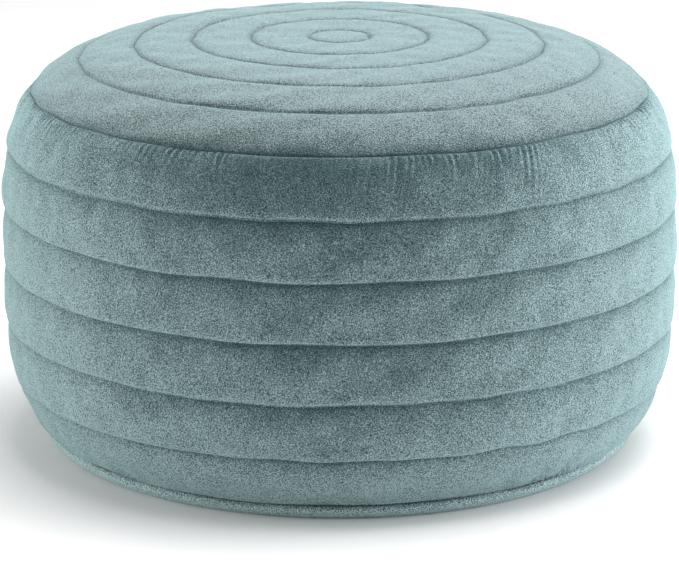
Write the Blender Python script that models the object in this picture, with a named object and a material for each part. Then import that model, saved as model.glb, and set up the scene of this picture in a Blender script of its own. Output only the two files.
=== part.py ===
"""Round velvet pouf (a tall floor cushion), channel-quilted, as its separate cut and sewn pieces.

Metres, +Z up. The origin is on the floor under the middle of the pouf. The zip in the base runs along X.
Every round piece is turned with the same facets, so that layers which lie on each other keep their gaps.
"""

import math

import bmesh
import bpy
import numpy as np

# Overall outline: one superellipse above the widest height and one below it, cut flat by the floor.
DIAMETER = 0.610
HEIGHT = 0.3653
WIDEST_HEIGHT = 0.1615
LOWER_DEPTH = 0.1975  # how far under the widest height the lower curve would reach if the floor let it
UPPER_EXPONENT = 4.3
LOWER_EXPONENT = 3.5

# Quilting. Places on the outline are arc lengths from the middle of the top.
RINGS = 5
CENTRE_RADIUS = 0.027
RING_PITCH = 0.052
SIDE_BANDS = 6
TOP_BAND_EXTRA = 0.003  # the bands next to the two seams are wider than the others
BASE_BAND_EXTRA = 0.008
BASE_SEAM_HEIGHT = 0.010
GROOVE = 0.0045  # how far a line of stitches pulls the face in
SHOULDER = 0.011  # from a line of stitches to where its channel is full

# Layers, from the face inwards.
VELVET = 0.0015
WADDING = 0.012
BACKING = 0.0008
LINER_EASE = 0.0010  # room between the cover and the inner bag
LINER = 0.0006
FILL_EASE = 0.0005
THREAD = 0.0009
GAP = 0.0003  # what pieces that touch keep between them
FACETS = 40
SHARP_ANGLE = 30  # degrees, over which an edge is shaded sharp

# Zip, in a shallow recess across the base.
ZIP_END_MARGIN = 0.075  # from the base seam to the end of the teeth
FLOOR_CLEARANCE = 0.0032
TAPE_WIDTH = 0.013
TAPE_THICKNESS = 0.0006
TAPE_TAIL = 0.012  # tape past the end of the teeth
TAPE_SET_BACK = 0.0002  # from the coil's inner side to the tape's edge
COIL_WIDTH = 0.0022
COIL_HEIGHT = 0.0020
COIL_FLAT = 0.6  # share of each side of a coil that is flat, between its rounded corners
CHAIN_GAP = 0.0010  # between the two coils, for the slider's web
SLOT_MARGIN = 0.0013  # from the slider's side to the velvet's edge
TOP_STOP_LENGTH = 0.003
BOTTOM_STOP_LENGTH = 0.005
STOP_WALL = 0.0008
RECESS_MARGIN = 0.002  # flat recess past the tape's edge and past the pull's tip
RECESS_SLOPE = 0.014  # over which the base comes back down to the floor

# Slider and pull.
SLIDER_LENGTH = 0.011
SLIDER_PLATE = 0.0011
SLIDER_WALL = 0.0010
SLIDER_PLAY = 0.0004
WEB_THICKNESS = 0.0004
BAIL_LENGTH = 0.007
BAIL_WIDTH = 0.0016
BAIL_BAR = 0.0010
PULL_LENGTH = 0.028
PULL_WIDTH = 0.0068
PULL_THICKNESS = 0.0012
PULL_BAR = 0.0010  # the bar of the pull's eye that hooks in the bail
EYE_LENGTH = 0.0050
EYE_WIDTH = 0.0026
PULL_ARM = 0.0010  # either side of the eye
PULL_FLARE = 0.004  # over which the pull widens from its eye to its tab
PULL_CORNER = 0.002
PULL_PLAY = 0.0004

# Depths of the layers under the face.
WADDING_DEPTH = VELVET + GAP
BACKING_DEPTH = WADDING_DEPTH + WADDING + GAP
LINER_DEPTH = BACKING_DEPTH + BACKING + LINER_EASE
FILL_DEPTH = LINER_DEPTH + LINER + FILL_EASE

# Heights through the zip, from the floor up.
PULL_AXIS_Z = FLOOR_CLEARANCE + BAIL_BAR + PULL_PLAY + PULL_THICKNESS / 2
SLIDER_LOW_Z = PULL_AXIS_Z + PULL_THICKNESS / 2 + PULL_PLAY
COIL_LOW_Z = SLIDER_LOW_Z + SLIDER_PLATE + SLIDER_PLAY
COIL_TOP_Z = COIL_LOW_Z + COIL_HEIGHT
TAPE_LOW_Z = COIL_TOP_Z + GAP
TAPE_TOP_Z = TAPE_LOW_Z + TAPE_THICKNESS
SLIDER_HIGH_Z = TAPE_TOP_Z + SLIDER_PLAY
SLIDER_TOP_Z = SLIDER_HIGH_Z + SLIDER_PLATE
RECESS_Z = TAPE_LOW_Z - GAP - VELVET  # outer face of the velvet over the recess

# Widths across the zip, from its middle line.
COIL_INNER_Y = CHAIN_GAP / 2
COIL_OUTER_Y = COIL_INNER_Y + COIL_WIDTH
TAPE_INNER_Y = COIL_INNER_Y + TAPE_SET_BACK
TAPE_OUTER_Y = TAPE_INNER_Y + TAPE_WIDTH
WALL_INNER_Y = COIL_OUTER_Y + SLIDER_PLAY
WALL_OUTER_Y = WALL_INNER_Y + SLIDER_WALL
SLOT_Y = WALL_OUTER_Y + SLOT_MARGIN


def outline_curve():
    """The outline as arc lengths, radii and heights, from the middle of the top down to the floor."""
    turn = np.linspace(0, math.pi / 2, 20001)
    rise = HEIGHT - WIDEST_HEIGHT
    upper = np.stack(
        [
            DIAMETER / 2 * np.sin(turn) ** (2 / UPPER_EXPONENT),
            WIDEST_HEIGHT + rise * np.cos(turn) ** (2 / UPPER_EXPONENT),
        ],
        axis=1,
    )
    lower = np.stack(
        [
            DIAMETER / 2 * np.cos(turn) ** (2 / LOWER_EXPONENT),
            WIDEST_HEIGHT - LOWER_DEPTH * np.sin(turn) ** (2 / LOWER_EXPONENT),
        ],
        axis=1,
    )
    points = np.concatenate([upper, lower[1:][lower[1:, 1] > 0]])
    steps = np.hypot(*np.diff(points, axis=0).T)
    return np.concatenate([[0], np.cumsum(steps)]), points[:, 0], points[:, 1]


ARC, RADIUS, LEVEL = outline_curve()
FLOOR_RADIUS = float(RADIUS[-1])

TOP_SEAM = CENTRE_RADIUS + RINGS * RING_PITCH
BASE_SEAM = float(ARC[np.argmin(np.abs(LEVEL - BASE_SEAM_HEIGHT) + (RADIUS < FLOOR_RADIUS))])
SIDE_PITCH = (BASE_SEAM - TOP_SEAM - TOP_BAND_EXTRA - BASE_BAND_EXTRA) / SIDE_BANDS
RING_LINES = [CENTRE_RADIUS + RING_PITCH * k for k in range(RINGS)]
SIDE_LINES = [TOP_SEAM + TOP_BAND_EXTRA + SIDE_PITCH * k for k in range(1, SIDE_BANDS)]


def on_outline(arc, depth):
    """The point (radius, height) at a depth under the outline, square to it."""
    near = 0.0005
    ahead, behind = min(arc + near, ARC[-1]), max(arc - near, 0)
    across = np.interp(ahead, ARC, RADIUS) - np.interp(behind, ARC, RADIUS)
    down = np.interp(ahead, ARC, LEVEL) - np.interp(behind, ARC, LEVEL)
    size = math.hypot(across, down)
    radius = np.interp(arc, ARC, RADIUS) + depth * down / size
    return max(float(radius), 0.0), float(np.interp(arc, ARC, LEVEL) - depth * across / size)


def quilted(start, end, lines, depth):
    """A padded face between two places on the outline: full in each channel, pulled in at each line."""
    pinched = [line for line in [start, *lines, end] if line > 0]
    points = [on_outline(0, depth)] if start == 0 else []
    for line in pinched:
        for arc, pull in ((line - SHOULDER, 0), (line, GROOVE), (line + SHOULDER, 0)):
            if start <= arc <= end:
                points.append(on_outline(arc, depth + pull))
    return points


# Where a smooth inner face has a point: few on the flat top, and evenly down the side.
TOP_STEPS = [TOP_SEAM * share for share in (0, 0.6, 0.86)]
SIDE_STEPS = [TOP_SEAM + (BASE_SEAM - TOP_SEAM) * k / 5 for k in range(1, 5)]


def plain(start, end, depth):
    """A smooth face between two places on the outline, with the same few points at every depth."""
    inside = [arc for arc in (*TOP_STEPS, *SIDE_STEPS) if start < arc < end]
    return [on_outline(arc, depth) for arc in (start, *inside, end)]


def finish(name, colour, roughness, metallic=0.0):
    """A plain material of this colour."""
    material = bpy.data.materials.new(name)
    material.use_nodes = True
    shader = material.node_tree.nodes["Principled BSDF"]
    shader.inputs["Base Color"].default_value = (*colour, 1)
    shader.inputs["Roughness"].default_value = roughness
    shader.inputs["Metallic"].default_value = metallic
    return material


def put(name, bm, material, smooth=True, thickness=0):
    """The bmesh as a named object. A closed body is turned face out; an open skin gets a thickness inwards."""
    if not thickness:
        bmesh.ops.recalc_face_normals(bm, faces=bm.faces)
    mesh = bpy.data.meshes.new(name)
    bm.to_mesh(mesh)
    bm.free()
    if smooth:
        mesh.shade_smooth()
        mesh.set_sharp_from_angle(angle=math.radians(SHARP_ANGLE))
    mesh.materials.append(material)
    piece = bpy.data.objects.new(name, mesh)
    bpy.context.scene.collection.objects.link(piece)
    if thickness:
        wall = piece.modifiers.new("thickness", "SOLIDIFY")
        wall.thickness = thickness
        wall.offset = -1
        wall.use_even_offset = True
    return piece


def turned(profile, closed):
    """A bmesh of the profile, (radius, height) points, spun once round Z."""
    bm = bmesh.new()
    corners = [bm.verts.new((radius, 0, height)) for radius, height in profile]
    ends = corners[1:] + corners[:1] if closed else corners[1:]
    for a, b in zip(corners, ends):
        if a.co.x > 0 or b.co.x > 0:
            bm.edges.new((a, b))
    bmesh.ops.spin(
        bm,
        geom=bm.verts[:] + bm.edges[:],
        cent=(0, 0, 0),
        axis=(0, 0, 1),
        angle=2 * math.pi,
        steps=FACETS,
    )
    bmesh.ops.remove_doubles(bm, verts=bm.verts, dist=1e-6)
    return bm


def shell(name, outer, inner, material):
    """A round shell between an outer and an inner line of points, both from the top down."""
    return put(name, turned(outer + inner[::-1], closed=True), material)


def ring_thread(name, line, material):
    """A ring of thread lying in the crease that its own stitches pull."""
    apex = on_outline(line, GROOVE - GAP)
    near, far = (on_outline(line + side * THREAD / 2, GROOVE - GAP - THREAD) for side in (-1, 1))
    return put(name, turned([apex, near, far], closed=True), material)


def zip_line():
    """Where the zip's parts lie along X: the teeth's end, the slider's two rest places and the recess."""
    teeth = on_outline(BASE_SEAM, 0)[0] - ZIP_END_MARGIN
    closed = teeth - TOP_STOP_LENGTH - SLIDER_PLAY - SLIDER_LENGTH / 2
    opened = -teeth + BOTTOM_STOP_LENGTH + SLIDER_PLAY + SLIDER_LENGTH / 2
    flat = max(teeth + TAPE_TAIL, closed + PULL_LENGTH) + RECESS_MARGIN
    return teeth, closed, opened, flat


TEETH_X, CLOSED_X, OPENED_X, RECESS_X = zip_line()
SLOT_X = TEETH_X + GAP
RECESS_Y = TAPE_OUTER_Y + RECESS_MARGIN


def cut_flat(bm, level, axis, place):
    """Cuts the flat base faces at this level with a plane square to axis 0 (X) or 1 (Y)."""
    flat = [f for f in bm.faces if all(abs(v.co.z - level) < 1e-6 for v in f.verts)]
    edges = {e for f in flat for e in f.edges}
    corners = {v for f in flat for v in f.verts}
    point = [0, 0, level]
    point[axis] = place
    bmesh.ops.bisect_plane(
        bm,
        geom=[*flat, *edges, *corners],
        dist=1e-7,
        plane_co=point,
        plane_no=(axis == 0, axis == 1, 0),
    )


def recessed_base(bm, radius, level, recess_level, slot=False):
    """Closes the bottom of a turned skin at this radius and level, and lifts the zip's recess out of it."""
    rim = [
        e
        for e in bm.edges
        if all(abs(v.co.z - level) < 1e-6 and abs(v.co.xy.length - radius) < 1e-5 for v in e.verts)
    ]
    bmesh.ops.contextual_create(bm, geom=rim)
    for side in (-1, 1):
        for place in (RECESS_X, RECESS_X + RECESS_SLOPE) + ((SLOT_X,) if slot else ()):
            cut_flat(bm, level, 0, side * place)
        for place in (RECESS_Y, RECESS_Y + RECESS_SLOPE) + ((SLOT_Y,) if slot else ()):
            cut_flat(bm, level, 1, side * place)
    for turn in ((-1, -1), (-1, 1), (1, -1), (1, 1)):
        hip = [
            (turn[0] * (RECESS_X + run), turn[1] * (RECESS_Y + run), level) for run in (0, RECESS_SLOPE)
        ]
        ends = [min(bm.verts, key=lambda v: math.dist(v.co, corner)) for corner in hip]
        bmesh.ops.connect_verts(bm, verts=ends)
    flat = [f for f in bm.faces if all(abs(v.co.z - level) < 1e-6 for v in f.verts)]
    bmesh.ops.triangulate(bm, faces=flat)
    for v in bm.verts:
        near = abs(v.co.x) < RECESS_X + 1e-6 and abs(v.co.y) < RECESS_Y + 1e-6
        if near and abs(v.co.z - level) < 1e-6:
            v.co.z = recess_level
    if slot:
        inside = [
            f
            for f in bm.faces
            if abs(f.calc_center_median().x) < SLOT_X
            and abs(f.calc_center_median().y) < SLOT_Y
            and f.calc_center_median().z < recess_level + 1e-6
        ]
        bmesh.ops.delete(bm, geom=inside, context="FACES")


def face_out(bm):
    """Turns an open skin's faces away from the middle of the pouf."""
    bmesh.ops.recalc_face_normals(bm, faces=bm.faces)
    lowest = min(bm.faces, key=lambda f: f.calc_center_median().z)
    if lowest.normal.z > 0:
        bmesh.ops.reverse_faces(bm, faces=bm.faces)


def base_cover(name, side, material):
    """Half of the velvet base, on the -Y (side -1) or the +Y side of the zip, with its edge along the slot."""
    seam_end = BASE_SEAM + GAP / 2
    round_over = [on_outline(seam_end, GROOVE), on_outline((BASE_SEAM + ARC[-1]) / 2, 0)]
    bm = turned([*round_over, (FLOOR_RADIUS, 0.0)], closed=False)
    recessed_base(bm, FLOOR_RADIUS, 0.0, RECESS_Z, slot=True)
    bmesh.ops.bisect_plane(
        bm,
        geom=bm.verts[:] + bm.edges[:] + bm.faces[:],
        dist=1e-7,
        plane_co=(0, side * GAP, 0),
        plane_no=(0, -side, 0),
        clear_outer=True,
    )
    face_out(bm)
    return put(name, bm, material, thickness=VELVET)


def inner_foot(depth, level):
    """The two lowest points of an inner layer at this depth: where its side ends, and its flat base's edge."""
    foot = on_outline(BASE_SEAM, depth)
    return foot, (foot[0] - foot[1] + level, level)


def liner_base(material):
    """The inner bag's base panel, turned up at its edge to meet the bag's side."""
    level = VELVET + LINER_EASE
    foot, edge = inner_foot(LINER_DEPTH, level)
    seam = (foot[0], foot[1] - GAP)
    bm = turned([seam, edge], closed=False)
    recessed_base(bm, edge[0], level, SLIDER_TOP_Z + LINER_EASE)
    face_out(bm)
    return put("liner_base", bm, material, thickness=LINER)


def fill(material):
    """The loose filling, as the one solid that it packs into."""
    level = VELVET + LINER_EASE + LINER + FILL_EASE
    foot, edge = inner_foot(FILL_DEPTH, level)
    wall = plain(0, BASE_SEAM, FILL_DEPTH)[:-1]
    bm = turned([*wall, foot, edge], closed=False)
    recessed_base(bm, edge[0], level, SLIDER_TOP_Z + LINER_EASE + LINER + FILL_EASE)
    return put("fill", bm, material)


def block(bm, low, high):
    """Adds a closed box between two corners."""
    made = bmesh.ops.create_cube(bm, size=1)
    for v in made["verts"]:
        v.co = [low[k] + (v.co[k] + 0.5) * (high[k] - low[k]) for k in range(3)]


def extruded(outline, start, end):
    """A bmesh of a closed (y, z) outline carried along X from start to end."""
    bm = bmesh.new()
    face = bm.faces.new([bm.verts.new((start, y, z)) for y, z in outline])
    moved = bmesh.ops.extrude_face_region(bm, geom=[face])["geom"]
    bmesh.ops.translate(
        bm, verts=[g for g in moved if isinstance(g, bmesh.types.BMVert)], vec=(end - start, 0, 0)
    )
    return bm


def zip_side(word, side, tape_finish, coil_finish):
    """One tape of the zip with its coil of teeth, on the -Y or +Y side."""
    bm = bmesh.new()
    reach = TEETH_X + TAPE_TAIL
    across = sorted((side * TAPE_INNER_Y, side * TAPE_OUTER_Y))
    block(bm, (-reach, across[0], TAPE_LOW_Z), (reach, across[1], TAPE_TOP_Z))
    put(f"zip_tape_{word}", bm, tape_finish, smooth=False)
    middle_y = side * (COIL_INNER_Y + COIL_WIDTH / 2)
    middle_z = COIL_LOW_Z + COIL_HEIGHT / 2
    section = [
        (middle_y + COIL_WIDTH / 2 * a, middle_z + COIL_HEIGHT / 2 * b)
        for a, b in (
            (-1, -COIL_FLAT), (-COIL_FLAT, -1), (COIL_FLAT, -1), (1, -COIL_FLAT),
            (1, COIL_FLAT), (COIL_FLAT, 1), (-COIL_FLAT, 1), (-1, COIL_FLAT),
        )
    ]
    put(f"zip_coil_{word}", extruded(section, -TEETH_X, TEETH_X), coil_finish)


def zip_stop(name, start, end, material):
    """A staple closed over both coils, open on the tape's side."""
    low, high = COIL_LOW_Z - GAP - STOP_WALL, TAPE_LOW_Z - GAP
    inner = COIL_OUTER_Y + GAP
    outer = inner + STOP_WALL
    section = [
        (-outer, low), (outer, low), (outer, high), (inner, high),
        (inner, COIL_LOW_Z - GAP), (-inner, COIL_LOW_Z - GAP), (-inner, high), (-outer, high),
    ]
    put(name, extruded(section, start, end), material, smooth=False)


def zip_slider(material):
    """The slider: a plate on each side of the chain, joined by a web between the coils, with a bail below."""
    web = WEB_THICKNESS / 2
    lip = COIL_TOP_Z
    half = [
        (WALL_OUTER_Y, SLIDER_LOW_Z), (WALL_OUTER_Y, lip), (WALL_INNER_Y, lip),
        (WALL_INNER_Y, SLIDER_LOW_Z + SLIDER_PLATE), (web, SLIDER_LOW_Z + SLIDER_PLATE),
        (web, SLIDER_HIGH_Z), (WALL_OUTER_Y, SLIDER_HIGH_Z), (WALL_OUTER_Y, SLIDER_TOP_Z),
    ]
    section = [(y, z - PULL_AXIS_Z) for y, z in half + [(-y, z) for y, z in half[::-1]]]
    slider = put(
        "zip_slider", extruded(section, -SLIDER_LENGTH / 2, SLIDER_LENGTH / 2), material, smooth=False
    )
    top = SLIDER_LOW_Z - PULL_AXIS_Z + SLIDER_PLATE / 3
    low = -PULL_THICKNESS / 2 - PULL_PLAY
    reach = BAIL_LENGTH / 2
    arch = [
        (-reach, top), (-reach, low), (BAIL_BAR - reach, low - BAIL_BAR), (reach - BAIL_BAR, low - BAIL_BAR),
        (reach, low), (reach, top), (reach - BAIL_BAR, top), (reach - BAIL_BAR, low),
        (BAIL_BAR - reach, low), (BAIL_BAR - reach, top),
    ]
    bm = extruded(arch, -BAIL_WIDTH / 2, BAIL_WIDTH / 2)
    for v in bm.verts:
        v.co.x, v.co.y = v.co.y, v.co.x
    bail = put("bail", bm, material)
    bail.hide_render = True
    bail.display_type = "WIRE"
    joined = slider.modifiers.new("bail", "BOOLEAN")
    joined.operation = "UNION"
    joined.object = bail
    for piece in (slider, bail):
        piece.location = (CLOSED_X, 0, PULL_AXIS_Z)
    return slider


def zip_pull(slider, material):
    """The pull: a flat tab whose eye hooks in the bail. Its origin is on the hinge's axis."""
    near, far = PULL_BAR / 2, PULL_BAR / 2 - PULL_LENGTH
    wide, eye = PULL_WIDTH / 2, EYE_WIDTH / 2
    neck = eye + PULL_ARM
    waist = -EYE_LENGTH - PULL_BAR
    outline = [
        (near, -neck), (near, neck), (waist, neck), (waist - PULL_FLARE, wide),
        (far + PULL_CORNER, wide), (far, wide - PULL_CORNER), (far, PULL_CORNER - wide),
        (far + PULL_CORNER, -wide), (waist - PULL_FLARE, -wide), (waist, -neck),
    ]
    bm = bmesh.new()
    face = bm.faces.new([bm.verts.new((x, y, -PULL_THICKNESS / 2)) for x, y in outline])
    moved = bmesh.ops.extrude_face_region(bm, geom=[face])["geom"]
    lifted = [g for g in moved if isinstance(g, bmesh.types.BMVert)]
    bmesh.ops.translate(bm, verts=lifted, vec=(0, 0, PULL_THICKNESS))
    pull = put("zip_pull", bm, material, smooth=False)
    bm = bmesh.new()
    block(bm, (-near - EYE_LENGTH, -eye, -PULL_THICKNESS), (-near, eye, PULL_THICKNESS))
    cutter = put("eye_cutter", bm, material, smooth=False)
    cutter.hide_render = True
    cutter.display_type = "WIRE"
    cut = pull.modifiers.new("eye", "BOOLEAN")
    cut.operation = "DIFFERENCE"
    cut.object = cutter
    for piece in (pull, cutter):
        piece.parent = slider
    return pull


def main():
    for old in list(bpy.data.objects):
        bpy.data.objects.remove(old)

    velvet = finish("teal_velvet", (0.14, 0.21, 0.22), 0.85)
    wadding = finish("white_wadding", (0.80, 0.80, 0.78), 0.95)
    backing = finish("backing_cloth", (0.42, 0.42, 0.40), 0.90)
    thread = finish("teal_thread", (0.05, 0.08, 0.085), 0.70)
    liner = finish("liner_cloth", (0.72, 0.72, 0.70), 0.90)
    filling = finish("fibre_fill", (0.85, 0.85, 0.83), 0.95)
    tape = finish("zip_tape", (0.07, 0.11, 0.12), 0.85)
    coil = finish("zip_coil", (0.06, 0.09, 0.10), 0.45)
    metal = finish("zip_metal", (0.50, 0.50, 0.50), 0.35, 1.0)

    top = (0.0, TOP_SEAM - GAP / 2)
    side = (TOP_SEAM + GAP / 2, BASE_SEAM - GAP / 2)
    for word, (start, end), lines in (("top", top, RING_LINES), ("side", side, SIDE_LINES)):
        shell(
            f"{word}_cover",
            quilted(start, end, lines, 0),
            quilted(start, end, lines, VELVET),
            velvet,
        )
        shell(
            f"{word}_wadding",
            quilted(start, end, lines, WADDING_DEPTH),
            plain(start, end, WADDING_DEPTH + WADDING),
            wadding,
        )
        shell(
            f"{word}_backing",
            plain(start, end, BACKING_DEPTH),
            plain(start, end, BACKING_DEPTH + BACKING),
            backing,
        )
        shell(
            f"liner_{word}",
            plain(start, end, LINER_DEPTH),
            plain(start, end, LINER_DEPTH + LINER),
            liner,
        )
    base_cover("base_cover_front", -1, velvet)
    base_cover("base_cover_rear", 1, velvet)
    liner_base(liner)
    fill(filling)

    for number, line in enumerate(RING_LINES, 1):
        ring_thread(f"ring_thread_{number}", line, thread)
    for number, line in enumerate(SIDE_LINES, 1):
        ring_thread(f"side_thread_{number}", line, thread)
    ring_thread("top_seam_thread", TOP_SEAM, thread)
    ring_thread("base_seam_thread", BASE_SEAM, thread)

    zip_side("front", -1, tape, coil)
    zip_side("rear", 1, tape, coil)
    zip_stop("zip_top_stop", TEETH_X - TOP_STOP_LENGTH, TEETH_X, metal)
    zip_stop("zip_bottom_stop", -TEETH_X, BOTTOM_STOP_LENGTH - TEETH_X, metal)
    zip_pull(zip_slider(metal), metal)


main()
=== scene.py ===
# %% [markdown]
# # A channel-quilted velvet pouf
#
# This lesson dresses a imported CAD model: a round, drum-shaped floor cushion in short-pile teal velvet. Its
# top is quilted in five rings and its side in six channels, and a zip crosses the base. The CAD model gives
# every size and place. Here each sewn piece gets its real surface: channels that swell between lines of
# stitches, gathers along the seams, single stitches, and a pile with a painted sheen, dark when you look
# into it and pale when you look across it.
#
# We load the model first. Nothing in it is moved, so each new piece can take its place from it.

# %% Load the frame
import math

import bmesh
import bpy
import numpy as np
from mathutils import Euler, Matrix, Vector


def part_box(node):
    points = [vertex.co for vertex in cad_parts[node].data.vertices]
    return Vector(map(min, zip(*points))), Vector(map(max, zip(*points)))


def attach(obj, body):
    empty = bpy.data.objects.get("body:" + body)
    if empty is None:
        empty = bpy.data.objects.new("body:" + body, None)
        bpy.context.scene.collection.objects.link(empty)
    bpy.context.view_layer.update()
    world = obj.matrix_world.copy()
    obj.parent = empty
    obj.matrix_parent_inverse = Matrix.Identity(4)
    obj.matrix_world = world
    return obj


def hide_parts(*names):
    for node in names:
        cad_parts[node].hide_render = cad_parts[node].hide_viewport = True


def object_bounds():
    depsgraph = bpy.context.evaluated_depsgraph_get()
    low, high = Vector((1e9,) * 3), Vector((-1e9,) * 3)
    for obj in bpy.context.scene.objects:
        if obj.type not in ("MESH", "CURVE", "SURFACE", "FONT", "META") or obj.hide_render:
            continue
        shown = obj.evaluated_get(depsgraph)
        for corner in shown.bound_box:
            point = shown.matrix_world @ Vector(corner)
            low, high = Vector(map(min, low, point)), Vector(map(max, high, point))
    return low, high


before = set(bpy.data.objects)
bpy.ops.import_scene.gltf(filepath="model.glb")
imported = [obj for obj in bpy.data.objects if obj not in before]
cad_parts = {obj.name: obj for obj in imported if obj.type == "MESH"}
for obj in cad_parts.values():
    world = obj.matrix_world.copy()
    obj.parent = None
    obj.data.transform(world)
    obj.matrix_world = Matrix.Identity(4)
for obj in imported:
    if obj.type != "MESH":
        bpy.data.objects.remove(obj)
cad_low, cad_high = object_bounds()
print("CAD box in mm:", [round(1000 * side) for side in cad_high - cad_low])

MM = 0.001
DICE = np.random.default_rng(24)

# %% [markdown]
# ## The outline
#
# A stuffed round body isn't a cylinder and isn't a ball: it is flat on top, full at the side and flat where
# it stands. A superellipse gives just that with one exponent, so the outline is one superellipse above the
# widest height and another below it, cut off by the floor. We could also trace a curve by hand, but a
# formula lets every layer of cloth ask for the same outline at its own depth.

# %% The outline as a formula
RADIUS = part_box("side_cover")[1].x
HEIGHT = cad_high.z
WIDEST = 161.5 * MM
LOWER_DEPTH = 197.5 * MM
UPPER_EXPONENT, LOWER_EXPONENT = 4.3, 3.5


def outline_curve(count=20001):
    """For each part, radius = half width times sin^(2/e) and height = rise times cos^(2/e) of a quarter turn.

    Gives the arc length of each point from the middle of the top, and the points."""
    turn = np.linspace(0, np.pi / 2, count)
    e, f = 2 / UPPER_EXPONENT, 2 / LOWER_EXPONENT
    upper = np.stack([RADIUS * np.sin(turn) ** e, WIDEST + (HEIGHT - WIDEST) * np.cos(turn) ** e], 1)
    lower = np.stack([RADIUS * np.cos(turn) ** f, WIDEST - LOWER_DEPTH * np.sin(turn) ** f], 1)
    points = np.concatenate([upper, lower[1:][lower[1:, 1] > 0]])
    run = np.hypot(*np.diff(points, axis=0).T)
    return np.concatenate([[0], np.cumsum(run)]), points


ARCS, OUTLINE = outline_curve()
FLOOR_RADIUS = OUTLINE[-1, 0]


def at(arc):
    """The outline's point (radius, height) and outward normal at each arc length: the tangent turned 90°."""
    point = np.stack([np.interp(arc, ARCS, OUTLINE[:, k]) for k in (0, 1)], -1)
    step = 0.5 * MM
    ahead, behind = np.minimum(arc + step, ARCS[-1]), np.maximum(arc - step, 0)
    along = np.stack([np.interp(ahead, ARCS, c) - np.interp(behind, ARCS, c) for c in OUTLINE.T], -1)
    along /= np.linalg.norm(along, axis=-1, keepdims=True)
    return point, np.stack([-along[..., 1], along[..., 0]], -1)


def arc_of(node):
    """The arc length where a CAD thread ring lies: the outline's nearest point to the ring."""
    low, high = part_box(node)
    ring = np.array([high.x, (low.z + high.z) / 2])
    return float(ARCS[np.argmin(np.linalg.norm(OUTLINE - ring, axis=1))])


RINGS = [arc_of(f"ring_thread_{k}") for k in range(1, 6)]
TOP_SEAM = arc_of("top_seam_thread")
SIDE_LINES = [arc_of(f"side_thread_{k}") for k in range(1, 6)]
LIP = 4.0 * MM  # the lowest channel hangs over its seam, so the stitches lie this far above its lip
BASE_SEAM = arc_of("base_seam_thread") - LIP
TOP_LINES = [0.0, *RINGS, TOP_SEAM]
SIDE_EDGES = [TOP_SEAM, *SIDE_LINES, BASE_SEAM]
print("stitch lines, mm along the outline:", [round(1000 * a) for a in TOP_LINES + SIDE_EDGES[1:]])

# %% [markdown]
# ## Camera and light
#
# Velvet shows its shape by how steeply you look at it, so the camera and the lights come before the cloth.
# A long lens from three metres away, a little above, sees the front and the top together. The light is a
# white studio: a pale floor, a large soft lamp on each side and one overhead, and a surround that is
# brightest low down and behind, so that the pouf throws its soft shadow towards us.

# %% The camera
CAMERA_PLACE = (0.0, -3.0, 0.973)
CAMERA_TILT = math.radians(90 - 15.64)
SENSOR, LENS = 36, 181
camera_data = bpy.data.cameras.new("camera")
camera_data.sensor_width, camera_data.lens = SENSOR, LENS
camera = bpy.data.objects.new("camera", camera_data)
camera.location = CAMERA_PLACE
camera.rotation_euler = Euler((CAMERA_TILT, 0, 0))
bpy.context.scene.collection.objects.link(camera)
bpy.context.scene.camera = camera
bpy.context.scene.view_settings.view_transform = "Standard"

# %% The surround
# Along each axis: the direction's two ends, then the brightness at each. The two axes multiply.
SURROUND = {"Z": (0.0, 1.0, 1.2, 0.35), "Y": (-1.0, 1.0, 0.40, 1.35)}
world = bpy.data.worlds.new("studio")
bpy.context.scene.world = world
world.use_nodes = True
sky = world.node_tree.nodes
way = sky.new("ShaderNodeSeparateXYZ")
world.node_tree.links.new(sky.new("ShaderNodeTexCoord").outputs["Generated"], way.inputs[0])
strength = sky.new("ShaderNodeMath")
strength.operation = "MULTIPLY"
for number, (axis, values) in enumerate(SURROUND.items()):
    glow = sky.new("ShaderNodeMapRange")
    for socket, value in zip(glow.inputs[1:5], values):
        socket.default_value = value
    world.node_tree.links.new(way.outputs[axis], glow.inputs[0])
    world.node_tree.links.new(glow.outputs[0], strength.inputs[number])
world.node_tree.links.new(strength.outputs[0], sky["Background"].inputs["Strength"])
sky["Background"].inputs["Color"].default_value = (1.0, 1.0, 1.0, 1)

# %% The lamps
MIDDLE = (0, 0, 0.18)


def lamp(name, place, size, power, colour):
    """A square area lamp that faces the pouf's middle."""
    data = bpy.data.lights.new(name, "AREA")
    data.size, data.energy, data.color = size, power, colour
    made = bpy.data.objects.new(name, data)
    made.location = place
    made.rotation_euler = (Vector(MIDDLE) - Vector(place)).to_track_quat("-Z", "Y").to_euler()
    bpy.context.scene.collection.objects.link(made)
    print("lamp", name, "at", place, "of", power, "W")


lamp("overhead", (0.5, 0.2, 2.4), 2.0, 68, (1, 1, 1))
lamp("left", (-2.4, -0.2, 0.35), 1.8, 40, (1.0, 1.0, 0.97))
lamp("right", (2.4, -0.2, 0.7), 1.8, 46, (0.97, 0.99, 1.0))

# %% [markdown]
# ## Making meshes from arrays
#
# Every piece below is a grid of points worked out with numpy. `mesh_of` turns points and faces into a mesh in
# one step, which is far quicker than adding vertices one by one. A cloth ring closes on itself round the
# pouf, so its grid wraps that way. A shell of cloth has an outer face, and an inner face a little deeper;
# walking down one and back up the other is a closed loop, so the grid can wrap that way too.


# %% Grids to meshes
def grid_faces(rows, columns, wrap_rows, wrap_columns):
    """Corner numbers of the quads between neighbouring rows and columns of a grid."""
    r = np.arange(rows if wrap_rows else rows - 1)[:, None]
    c = np.arange(columns if wrap_columns else columns - 1)[None, :]
    below, right = (r + 1) % rows, (c + 1) % columns
    corners = [r * columns + c, below * columns + c, below * columns + right, r * columns + right]
    return np.stack(np.broadcast_arrays(*corners), -1).reshape(-1, 4)


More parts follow.
